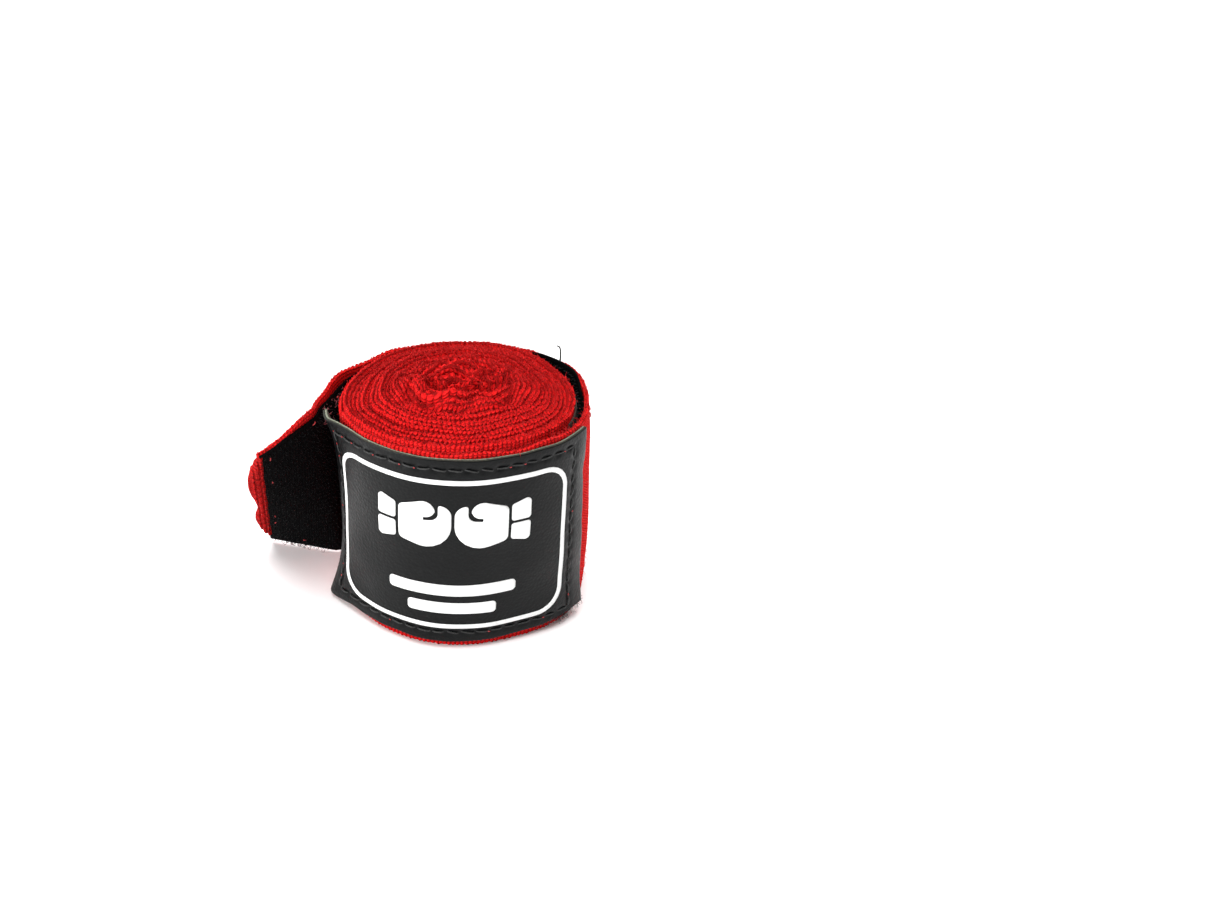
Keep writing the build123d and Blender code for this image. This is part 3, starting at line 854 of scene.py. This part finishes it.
def make_tab_hem():
    """The strip's end, rolled back on itself beside the tape."""
    rows, columns = 220, 72
    share = np.linspace(0, 1, rows)
    marks = [0.0, 0.045, 0.12, 0.20, 0.28, 0.36, 0.44, 0.55, 0.66, 0.78, 0.89, 0.95, 1.0]
    reach = [0.2, 2.0, 3.3, 3.7, 3.4, 2.5, 2.5, 3.5, 3.9, 3.6, 2.5, 1.2, 0.1]
    width = np.interp(share, marks, reach)
    kernel = np.exp(-np.linspace(-2, 2, 13) ** 2)
    width = np.convolve(np.pad(width, 6, "edge"), kernel / kernel.sum(), "valid")
    height = HEM_BOTTOM + HEM_HEIGHT * share
    angles = np.linspace(0, 2 * np.pi, columns, endpoint=False)
    inner_end = TAB_TAPE_END - 0.8
    u_mid = inner_end + (width[:, None] + 0.8) * (0.5 + 0.5 * np.cos(angles)[None, :])
    puff = 1.1 + 0.2 * np.sin(share * 31)[:, None]
    thick = puff * np.sin(angles)[None, :]
    row = (u_mid - inner_end) / HEM_ROW
    rows_of_knit = np.abs(np.sin(np.pi * row))
    knots_of_knit = np.abs(np.sin(np.pi * (height[:, None] / HEM_LOOP + np.floor(row) * 0.6)))
    swell = (0.6 * rows_of_knit * (0.4 + 0.6 * knots_of_knit) - 0.25) * np.sin(angles)[None, :]
    h = np.repeat(height[:, None], columns, 1)
    points, normals = outer_surface(u_mid, h)
    grid = points + normals * (-0.35 + thick + swell)[..., None]
    uv = np.stack([h, u_mid], -1) * MM
    # The hem uses the darker copy of the red knit, which is painted shade.
    piece = tube_piece("tab_hem_roll", grid, uv, [RED_HEM_PAINTED_SHADE])
    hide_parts("tab_hem", "tab_strip")
    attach(piece, "tab")
    return piece


# ---- loop tape and thumb loop -----------------------------------------------------------
UNDER_RADIUS = 26.6          # of the turn below the band
LOOP_TAPE_BEFORE, LOOP_TAPE_AFTER = 28.0, 75.0  # degrees from the right-hand side
THUMB_WIDTH, THUMB_LENGTH, THUMB_BOTTOM = 18.0, 30.0, 16.0
THUMB_TURNS = 1.9


def under_surface(u, h):
    """Outside of the turn below the band; u is distance from the right-hand side."""
    angle = np.degrees(u / UNDER_RADIUS)
    radius = FIRST_RADIUS + (LAST + angle) / 360.0 - slack_at(angle, h)
    points = polar(radius, angle, h)
    return points, polar(1.0, angle, 0.0)


LOOP_TAPE_BOTTOM = 3.7
LOOP_PATH = ((-0.30, -0.1), (-0.26, 0.22), (0.0, 0.40), (0.26, 0.22), (0.30, -0.1))


def make_loop_tape():
    start = math.radians(-LOOP_TAPE_BEFORE) * UNDER_RADIUS
    end = math.radians(LOOP_TAPE_AFTER) * UNDER_RADIUS
    stations = np.linspace(start, end, 110)
    half = 0.2
    centre = STRIP_HALF + half + 0.04
    bottom, top = LOOP_TAPE_BOTTOM, LOOP_TAPE_BOTTOM + TAPE_WIDTH
    tape = ribbon("loop_tape_base", under_surface, stations, bottom, top, centre, half, 24,
                  [LOOP_TAPE], arc_steps=3)
    u, h = np.meshgrid(np.arange(start + 0.6, end - 0.5, 0.95),
                       np.arange(bottom + 0.7, top - 0.8, 0.95), indexing="ij")
    u = (u + 0.2 * rng.normal(size=u.shape)).ravel()
    h = (h + 0.2 * rng.normal(size=h.shape)).ravel()
    points, normals = under_surface(u, h)
    ahead = np.cross(np.array([0.0, 0.0, 1.0]), normals)
    spin = rng.uniform(0, np.pi, len(u))[:, None]
    up = np.broadcast_to(np.array([0.0, 0.0, 1.0]), ahead.shape)
    along = np.cos(spin) * ahead + np.sin(spin) * up
    sideways = -np.sin(spin) * ahead + np.cos(spin) * up
    pile = curls("loop_tape_pile", points + normals * (centre + half), along, normals, sideways,
                 LOOP_PATH, 0.07, PILE, jitter=0.15)
    for piece in (tape, pile):
        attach(piece, "roll")
    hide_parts("loop_tape")
    return tape, pile, end - start


def make_thumb_loop():
    """A tape folded double and wound flat inside the core."""
    def surface(u, h):
        share = np.clip(u / THUMB_LENGTH, 0, 1)
        degrees = 360.0 * THUMB_TURNS * share
        return polar(3.1 - 1.75 * share, degrees, h), polar(1.0, degrees, 0.0)

    piece = ribbon("thumb_loop_tape", surface, np.linspace(0, THUMB_LENGTH, 150), THUMB_BOTTOM,
                   THUMB_BOTTOM + THUMB_WIDTH, 0.0, 0.34, 12, [RED], arc_steps=3, rib=0.04)
    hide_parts("thumb_loop")
    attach(piece, "roll")
    return piece


# ---- the patch --------------------------------------------------------------------------
PATCH_BOTTOM, PATCH_TOP = 2.0, 49.8
PATCH_LEFT, PATCH_RIGHT = -34.2, 32.4
STITCH_BOX = (-31.9, 27.9, 4.6, 47.4)
STITCH_PITCH = 3.4
PATCH_OUTER = STRIP_HALF + 0.04 + BACKING_THICK + LEATHER_THICK
PATCH_DEGREES = np.linspace(180.0, 352.0, 800)
PATCH_RUN = np.concatenate(
    [[0], np.cumsum(np.radians(np.diff(PATCH_DEGREES))
                    * (wound_radius(LAST + PATCH_DEGREES[:-1]) + PATCH_OUTER))]
)
PATCH_RUN -= np.interp(270.0, PATCH_DEGREES, PATCH_RUN)


def near_stitches(along, up):
    """(depth of the sewn furrow, pucker) at a place on the patch."""
    left, right, bottom, top = STITCH_BOX
    d_rows = np.minimum(np.abs(up - bottom), np.abs(up - top))
    d_ends = np.minimum(np.abs(along - left), np.abs(along - right))
    outside_rows = np.maximum(np.maximum(left - along, along - right), 0)
    outside_ends = np.maximum(np.maximum(bottom - up, up - top), 0)
    on_rows = np.hypot(d_rows, outside_rows)
    on_ends = np.hypot(d_ends, outside_ends)
    nearest = np.minimum(on_rows, on_ends)
    position = np.where(on_rows <= on_ends, along - left, up - bottom)
    pucker = 0.5 + 0.5 * np.cos(2 * np.pi * position / STITCH_PITCH)
    return np.exp(-((nearest / 0.75) ** 2)), pucker


PATCH_SWELL = make_noise(41, 16.0)
PATCH_EDGE = make_noise(42, 7.0)


def patch_flare(along, up):
    """Corners that curl away from the roll."""
    from_left, from_right = np.maximum(along - PATCH_LEFT, 0), np.maximum(PATCH_RIGHT - along, 0)
    from_bottom, from_top = np.maximum(up - PATCH_BOTTOM, 0), np.maximum(PATCH_TOP - up, 0)
    corners = ((from_left, 0.8 * from_bottom, 3.4, 15), (from_left, from_top, 2.8, 12.5),
               (from_right, from_top, 0.2, 12), (from_right, from_bottom, 1.5, 13))
    return sum(lift * np.clip(1 - np.hypot(along_gap, up_gap) / reach, 0, 1) ** 2
               for along_gap, up_gap, lift, reach in corners)


def patch_surface(along, up):
    """Outer face of the leather."""
    angle = np.interp(along, PATCH_RUN, PATCH_DEGREES)
    flare = ramp(angle, 290, 358) * side_flare(up)
    furrow, pucker = near_stitches(along, up)
    radius = (
        wound_radius(LAST + angle) + PATCH_OUTER + flare + patch_flare(along, up)
        - furrow * (0.10 + 0.26 * pucker) + 0.07 * PATCH_SWELL(along, up)
    )
    return polar(radius, angle, up)


def patch_normals(along, up, reach=0.1):
    ahead = patch_surface(along + reach, up) - patch_surface(along - reach, up)
    rise = patch_surface(along, up + reach) - patch_surface(along, up - reach)
    return unit(np.cross(ahead, rise))


def patch_bottom(along):
    """Height of the patch's lower edge, which dips at the left and rises at the right."""
    worn = 0.07 * PATCH_EDGE(along, 0.0)
    return PATCH_BOTTOM + worn - 0.8 * ramp(-along, 26, 34) + 1.3 * ramp(along, 12, 32)


def patch_outline(along_share, up_share):
    """Maps a unit square to the patch's cut shape, whose left end is hollow."""
    hollow = 5.4 * ramp(up_share, 0.5, 1.0) ** 1.5 + 0.6 * ramp(1 - up_share, 0.6, 1.0)
    left = PATCH_LEFT - hollow + 0.12 * PATCH_EDGE(0.0, up_share * 48)
    right = PATCH_RIGHT + 0.3 * (1 - up_share) + 0.12 * PATCH_EDGE(9.0, up_share * 48)
    along = left + (right - left) * along_share
    bottom = patch_bottom(along)
    top = PATCH_TOP + 0.04 * PATCH_EDGE(along, 30.0)
    top = top - 1.7 * ramp(-along, 30, 40)
    return along, bottom + (top - bottom) * up_share


def patch_layer(name, outer, inner, columns, rows, materials):
    """One layer of the patch between two depths below the leather's face."""
    shares = np.meshgrid(np.linspace(0, 1, columns), np.linspace(0, 1, rows), indexing="ij")
    along, up = patch_outline(*shares)
    face = patch_surface(along, up)
    normal = patch_normals(along, up)
    front = face - normal * outer
    back = face - normal * inner
    points = np.concatenate([front.reshape(-1, 3), back.reshape(-1, 3)])
    uv = np.stack([along, up], -1).reshape(-1, 2) * MM
    uv = np.concatenate([uv, uv])
    index = np.arange(columns * rows).reshape(columns, rows)
    a, b = index[:-1, :-1].ravel(), index[1:, :-1].ravel()
    c, d = index[1:, 1:].ravel(), index[:-1, 1:].ravel()
    total = columns * rows
    faces = np.stack([a, b, c, d], -1).tolist()
    faces += np.stack([a + total, d + total, c + total, b + total], -1).tolist()
    marks = [0] * len(faces)
    rim = [*index[:, 0], *index[-1, 1:], *index[-2::-1, -1], *index[0, -2:0:-1]]
    for first, second in zip(rim, rim[1:] + rim[:1]):
        faces.append([int(second), int(first), int(first) + total, int(second) + total])
        marks.append(len(materials) - 1)
    piece = make_mesh(name, points, faces, materials, uv, marks)
    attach(piece, "roll")
    return piece


PRINT_THICK = 0.1
PRINT_GAP = 0.03             # between a print and the leather
PRINT_CELL = 0.8             # the prints are cut this fine so that they bend with the patch


def print_piece(name, outlines):
    """Thin printed shapes that lie on the leather; outlines are (along, up)."""
    work = bmesh.new()
    for outline in outlines:
        work.faces.new([work.verts.new((x, y, 0.0)) for x, y in outline])
    for axis, low, high in ((0, -36, 36), (1, 0, 50)):
        normal = Vector((axis == 0, axis == 1, 0))
        for cut in np.arange(low, high, PRINT_CELL):
            geometry = work.verts[:] + work.edges[:] + work.faces[:]
            bmesh.ops.bisect_plane(work, geom=geometry, plane_co=normal * float(cut),
                                   plane_no=normal, dist=1e-6)
    bmesh.ops.recalc_face_normals(work, faces=work.faces)
    for face in work.faces:
        if face.normal.z < 0:
            face.normal_flip()
    work.verts.index_update()
    flat = np.array([v.co[:2] for v in work.verts])
    faces = [[v.index for v in face.verts] for face in work.faces]
    rims = [[edge.link_loops[0].vert.index, edge.link_loops[0].link_loop_next.vert.index]
            for edge in work.edges if len(edge.link_faces) == 1]
    work.free()
    face_points = patch_surface(flat[:, 0], flat[:, 1])
    normal = patch_normals(flat[:, 0], flat[:, 1])
    top = face_points + normal * (PRINT_GAP + PRINT_THICK)
    low = face_points + normal * PRINT_GAP
    total = len(flat)
    points = np.concatenate([top, low])
    solid = faces + [[v + total for v in face][::-1] for face in faces]
    solid += [[b, a, a + total, b + total] for a, b in rims]
    piece = make_mesh(name, points, solid, [PRINT])
    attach(piece, "roll")
    return piece


def rounded_polygon(corners, points=8):
    """Outline through (x, y, radius) corners, each rounded by its radius."""
    outline = []
    count = len(corners)
    for index, (x, y, radius) in enumerate(corners):
        here = np.array([x, y])
        before = unit(np.array(corners[index - 1][:2]) - here)
        after = unit(np.array(corners[(index + 1) % count][:2]) - here)
        half = math.acos(float(np.clip(before @ after, -1, 1))) / 2
        reach = radius / math.tan(half)
        centre = here + unit(before + after) * radius / math.sin(half)
        start, end = here + before * reach - centre, here + after * reach - centre
        for step in range(points + 1):
            t = step / points
            spoke = unit(start * (1 - t) + end * t) * radius
            outline.append(tuple(centre + spoke))
    return outline


def rounded_box(left, right, bottom, top, corner):
    return rounded_polygon([(right, bottom, corner), (right, top, corner),
                            (left, top, corner), (left, bottom, corner)])


def densify(outline, reach=0.7):
    """Adds points so that no side is longer than reach."""
    result = []
    for (x0, y0), (x1, y1) in zip(outline, outline[1:] + outline[:1]):
        count = max(1, math.ceil(math.hypot(x1 - x0, y1 - y0) / reach))
        for step in range(count):
            t = step / count
            result.append((x0 + (x1 - x0) * t, y0 + (y1 - y0) * t))
    return result


BORDER_BOX = (-30.3, 25.7, 5.9, 45.1)
BORDER_LINE = 1.15
BORDER_CORNER = 6.5


def make_border():
    """The rounded line round the print, raised from the leather like the rest of it."""
    left, right, bottom, top = BORDER_BOX
    outer = np.array(densify(rounded_box(left, right, bottom, top, BORDER_CORNER)))
    ahead = unit(np.roll(outer, -1, 0) - np.roll(outer, 1, 0))
    inward = np.stack([-ahead[:, 1], ahead[:, 0]], -1)
    rows = []
    raised = PRINT_GAP + PRINT_THICK
    for share, lift in ((0.0, PRINT_GAP), (0.04, raised), (0.5, raised), (0.96, raised),
                        (1.0, PRINT_GAP)):
        flat = outer + inward * BORDER_LINE * share
        rows.append(patch_surface(flat[:, 0], flat[:, 1])
                    + patch_normals(flat[:, 0], flat[:, 1]) * lift)
    grid = np.stack(rows, 1)
    count = len(outer)
    columns = grid.shape[1]
    row = np.arange(count)[:, None]
    column = np.arange(columns)[None, :]
    a = row * columns + column
    b = ((row + 1) % count) * columns + column
    c = ((row + 1) % count) * columns + (column + 1) % columns
    d = row * columns + (column + 1) % columns
    faces = np.stack([a, b, c, d], -1).reshape(-1, 4)
    piece = make_mesh("border_print", grid.reshape(-1, 3), faces, [PRINT])
    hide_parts("patch_border")
    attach(piece, "roll")


GLOVE_CENTRE, GLOVE_WIDTH = -0.6, 16.6
GLOVE_TOP, GLOVE_BOTTOM = 40.4, 26.2
CUFF_WIDTH, PRINT_SLIT = 4.4, 0.7
BARS = ((-15.0, 13.6, 15.2, 18.2), (-10.6, 9.2, 10.2, 13.2))


def glove_shapes(side):
    """Mitt and two wrist straps of one plain boxing glove; side -1 lies to the left."""
    knuckles = GLOVE_CENTRE + side * PRINT_SLIT / 2
    wrist = GLOVE_WIDTH - CUFF_WIDTH - PRINT_SLIT
    cuff = wrist + PRINT_SLIT
    thumb_bottom = 35.9
    seam = thumb_bottom - PRINT_SLIT
    mitt = [(0.0, GLOVE_BOTTOM, 5.8), (wrist, GLOVE_BOTTOM + 3.2, 1.4),
            (wrist, GLOVE_TOP - 2.6, 1.2), (3.5, GLOVE_TOP, 2.4), (3.5, thumb_bottom, 2.1),
            (6.0, thumb_bottom - 0.3, 0.2), (6.0, seam - 0.4, 0.2), (2.8, seam, 1.8),
            (2.8, 38.9, 0.5), (0.0, 38.4, 2.6)]
    low_strap = [(cuff, 29.4, 0.8), (cuff + CUFF_WIDTH, 28.2, 1.0),
                 (cuff + CUFF_WIDTH, 33.3, 0.7), (cuff, 33.3, 0.6)]
    high_strap = [(cuff, 34.0, 0.6), (cuff + CUFF_WIDTH, 34.0, 0.7),
                  (cuff + CUFF_WIDTH, 39.4, 1.0), (cuff, 38.0, 0.8)]
    shapes = []
    for corners in (mitt, low_strap, high_strap):
        placed = [(knuckles + side * x, y, r) for x, y, r in corners]
        if side < 0:
            placed = placed[::-1]
        shapes.append(densify(rounded_polygon(placed)))
    return shapes


def make_prints():
    make_border()
    emblem = print_piece("emblem_print", glove_shapes(-1) + glove_shapes(1))
    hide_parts("patch_emblem")
    bars = print_piece("bar_prints", [
        densify(rounded_box(left, right, bottom, top, 0.9)) for left, right, bottom, top in BARS
    ])
    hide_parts("patch_bars")


# ---- stitches ------------------------------------------------------------------------------
STITCH_PATH = ((-1.35, -0.30), (-1.15, -0.02), (-0.6, 0.12), (0.6, 0.12), (1.15, -0.02),
               (1.35, -0.30))


def spaced(start, end):
    count = max(1, round(abs(end - start) / STITCH_PITCH))
    return np.linspace(start, end, count + 1)


def make_patch_stitches():
    left, right, bottom, top = STITCH_BOX
    margin = STITCH_PITCH / 2
    places = [(place, level, 1.0, 0.0) for level in (bottom, top)
              for place in spaced(left + margin, right - margin)]
    places += [(place, level, 0.0, 1.0) for place in (left, right)
               for level in spaced(bottom + margin, top - margin)]
    places = np.array(places)
    along, up, headings = places[:, 0], places[:, 1], places[:, 2:]
    base = patch_surface(along, up)
    normal = patch_normals(along, up, 0.8)
    ahead = unit(patch_surface(along + 0.5 * headings[:, 0], up + 0.5 * headings[:, 1])
                 - patch_surface(along - 0.5 * headings[:, 0], up - 0.5 * headings[:, 1]))
    sideways = np.cross(normal, ahead)
    piece = curls("patch_thread", base + normal * 0.12, ahead, normal, sideways, STITCH_PATH, 0.2,
                  BLACK_THREAD, jitter=0.08, sides=6)
    specks = rng.random(len(along)) < 0.28
    ends = base[specks] + ahead[specks] * 1.6 + normal[specks] * 0.05
    dots = curls("patch_thread_specks", ends, ahead[specks], normal[specks], sideways[specks],
                 ((-0.16, 0.0), (-0.05, 0.09), (0.1, 0.09), (0.2, 0.0)), 0.11, RED_THREAD,
                 jitter=0.2, sides=5)
    for item, finish in ((piece, "black_thread"), (dots, "red_thread")):
        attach(item, "roll")
    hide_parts("patch_stitches")


def stitch_frames(places):
    """Points and directions of stitches on the outer strip; places are (u, h, upright)."""
    u, h, upright = np.array(places, float).T
    points, normals = outer_surface(u, h)
    ahead = unit(outer_points(u + 0.3, h) - outer_points(u - 0.3, h))
    up = unit(outer_points(u, h + 0.3) - outer_points(u, h - 0.3))
    upright = upright[:, None] > 0
    return points, normals, np.where(upright, up, ahead), np.where(upright, ahead, up)


def make_outer_stitches():
    """Red thread rows that hold the hook tape to the strip."""
    rows = (TAPE_BOTTOM + 2, TAPE_BOTTOM + TAPE_WIDTH - 2)
    spans = (("band_thread", run_at(PEEL_ANGLE + 6), run_at(TAB_ANGLE - 6), "band_stitches"),
             ("tab_thread", 3.5, TAB_TAPE_END - 4, "tab_stitches"))
    for name, start, end, node in spans:
        body = "tab" if node == "tab_stitches" else "band"
        places = [(u, level, False) for level in rows for u in spaced(start, end)]
        if body == "tab":
            places += [(TAB_TAPE_END - 2.2, level, True) for level in spaced(5.0, 44.0)]
        base, normal, heading, sideways = stitch_frames(places)
        thread = curls(name, base + normal * (STRIP_HALF + 0.12), heading, normal, sideways,
                       STITCH_PATH, 0.2, RED_THREAD, jitter=0.08, sides=6)
        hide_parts(node)
        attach(thread, body)
        seen = rng.random(len(base)) < 0.4
        specks = curls(name + "_specks", (base - normal * (STRIP_HALF + 1.0))[seen], heading[seen],
                       -normal[seen], sideways[seen],
                       ((-0.35, 0.0), (-0.15, 0.12), (0.15, 0.12), (0.35, 0.0)), 0.16,
                       RED_THREAD, jitter=0.35, sides=5)
        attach(specks, body)


# ---- fluff and loose ends --------------------------------------------------------------------
HAIR_PATH = ((0.0, -0.05), (0.08, 0.16), (0.22, 0.34), (0.45, 0.46), (0.7, 0.44))


def random_frame(normals):
    """A random direction in the surface and the one square to it."""
    seed = rng.normal(size=normals.shape)
    ahead = unit(np.cross(normals, seed))
    return ahead, np.cross(normals, ahead)


def hairs(name, bases, normals, material=RED_FUZZ, radius=0.035):
    ahead, sideways = random_frame(normals)
    out = unit(normals + 0.5 * rng.normal(size=normals.shape))
    return curls(name, bases, ahead, out, sideways, HAIR_PATH, radius, material, jitter=0.4)


def make_roll_fuzz(grid):
    """Cotton fibres that stand off the coil's upper edges."""
    top = grid[:, 4:9, :].reshape(-1, 3)
    chosen = top[rng.choice(len(top), 2600, replace=False)]
    normals = unit(np.array([0.0, 0.0, 1.0]) + 0.35 * rng.normal(size=chosen.shape))
    piece = hairs("roll_fuzz", chosen, normals)
    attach(piece, "roll")


def make_outer_fuzz():
    """The same on the outer strip's outside and upper edge."""
    spans = (("band_fuzz", run_at(205.0), run_at(SEAM_ANGLE), 1500),
             ("tab_fuzz", run_at(SEAM_ANGLE), STRIP_END, 900))
    for name, start, end, count in spans:
        u = rng.uniform(start, end, count)
        on_top = rng.random(count) < 0.45
        h = np.where(on_top, strip_top(u) - 0.1, rng.uniform(0.5, 49.0, count))
        points, normals = outer_surface(u, h)
        up = np.array([0.0, 0.0, 1.0])
        bases = points + normals * np.where(on_top, 0.0, STRIP_HALF)[:, None]
        outward = np.where(on_top[:, None], up + 0.4 * normals, normals)
        piece = hairs(name, bases, unit(outward))
        if name == "band_fuzz":
            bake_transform(piece)
        else:
            tab_blend(piece)


def make_loose_ends():
    """A thread end at the back right, fluff under the patch and stray hooks."""
    u = np.array([run_at(395.0)])
    points, normals = outer_surface(u, np.array([50.2]))
    up = np.array([[0.03, 0.0, 1.0]])
    ahead = np.array([[-1.0, 0.15, 0.0]])
    thread = curls("thread_end", points - normals * 0.7, ahead, unit(up), normals,
                   ((0.0, -1.5), (0.05, 0.6), (0.1, 1.6), (0.2, 2.7), (0.45, 3.5), (0.95, 3.8),
                    (1.15, 3.75)), 0.24, BLACK_THREAD, jitter=0.0, sides=6)
    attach(thread, "band")

    count = 150
    along = rng.normal(26.5, 2.6, count).clip(17.0, 33.0)
    level = patch_bottom(along) + rng.uniform(-0.2, 0.3, count)
    points = patch_surface(along, level)
    normals = patch_normals(along, level + 1.0)
    down = unit(0.45 * normals + np.array([0.0, 0.0, -0.5]) + 0.4 * rng.normal(size=normals.shape))
    fluff = curls("patch_fluff", points - normals * 0.5, random_frame(normals)[0], down, normals,
                  ((0.0, 0.0), (0.1, 0.35), (0.35, 0.65), (0.65, 0.8), (0.7, 0.6)), 0.05,
                  BLACK_THREAD, jitter=0.35)
    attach(fluff, "roll")

    u = np.concatenate([rng.uniform(6.0, 15.0, 16), rng.uniform(1.0, TAB_TAPE_END, 14)])
    h = tape_bottom(u) + 0.1
    points, normals = outer_surface(u, h)
    down = unit(np.array([0.0, 0.0, -1.0]) - 0.5 * normals)
    ahead = unit(outer_points(u + 0.2, h) - outer_points(u - 0.2, h))
    strays = curls("stray_hooks", points + normals * HOOK_CENTRE, ahead, down, normals,
                   ((0.0, -0.2), (0.02, 0.35), (0.12, 0.75), (0.42, 0.85), (0.6, 0.55), (0.45, 0.35)),
                   0.06, HOOKS, jitter=0.3)
    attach(strays, "tab")


def make_lint():
    """Red fluff caught in the hooks where the tab leaves the roll."""
    count = 90
    u = rng.uniform(-20.0, 3.0, count)
    h = TAPE_BOTTOM + TAPE_WIDTH - rng.exponential(2.2, count) - 1.0
    points, normals = outer_surface(u, h)
    bases = points + normals * (HOOK_CENTRE - HOOK_BASE - 0.5)
    lint = hairs("hook_tape_lint", bases, -normals, LINT, 0.05)
    tab_blend(lint)


# ---- build -------------------------------------------------------------------------------
make_camera()
make_studio()

roll, roll_length, roll_grid = make_strip_roll()
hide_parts("strip_coil")

band, tab = make_outer_strip()
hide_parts("band_strip")
hem = make_tab_hem()

for tape, hooks, length in make_hook_tape():
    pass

loop_tape, pile, length = make_loop_tape()
thumb = make_thumb_loop()

backing = patch_layer("patch_backing_layer", LEATHER_THICK + 0.02,
                      LEATHER_THICK + BACKING_THICK, 120, 84, [BACKING, CUT_EDGE])
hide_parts("patch_backing")
leather = patch_layer("patch_leather_layer", 0.0, LEATHER_THICK, 196, 140, [LEATHER, LEATHER_EDGE])
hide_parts("patch_leather")
make_prints()
make_patch_stitches()
make_outer_stitches()
make_roll_fuzz(roll_grid)
make_outer_fuzz()
make_loose_ends()
make_lint()
